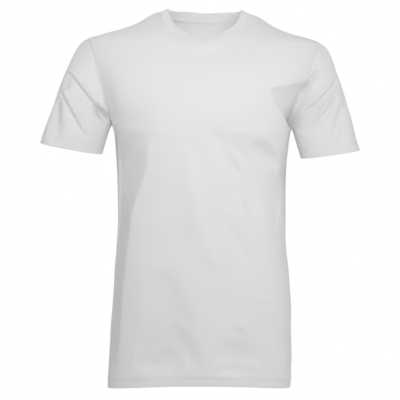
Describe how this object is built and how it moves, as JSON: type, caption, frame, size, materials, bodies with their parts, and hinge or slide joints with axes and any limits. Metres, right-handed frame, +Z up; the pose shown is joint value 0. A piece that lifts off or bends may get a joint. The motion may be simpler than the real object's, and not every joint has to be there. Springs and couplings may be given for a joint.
{
  "type": "crew neck t-shirt",
  "caption": "Short-sleeved crew neck t-shirt, filled out as it is worn with nobody in it, open at the neck, the cuffs and the hem.",
  "frame": {"origin": "middle of the neck opening, level with the tops of the shoulders, where the shirt is held when it is worn", "axes": "+Z up, the front faces -Y, +X towards the wearer's left"},
  "size_m": [0.6168, 0.2355, 0.7294],
  "materials": {
    "jersey": "fine single jersey, matt, white",
    "rib": "one by one rib, folded double, matt, white",
    "tape": "narrow jersey tape, matt, white"
  },
  "bodies": {
    "root": {"front_panel": "jersey", "back_panel": "jersey", "sleeve_left": "jersey", "sleeve_right": "jersey", "neck_rib": "rib", "neck_tape": "tape"}
  },
  "joints": []
}
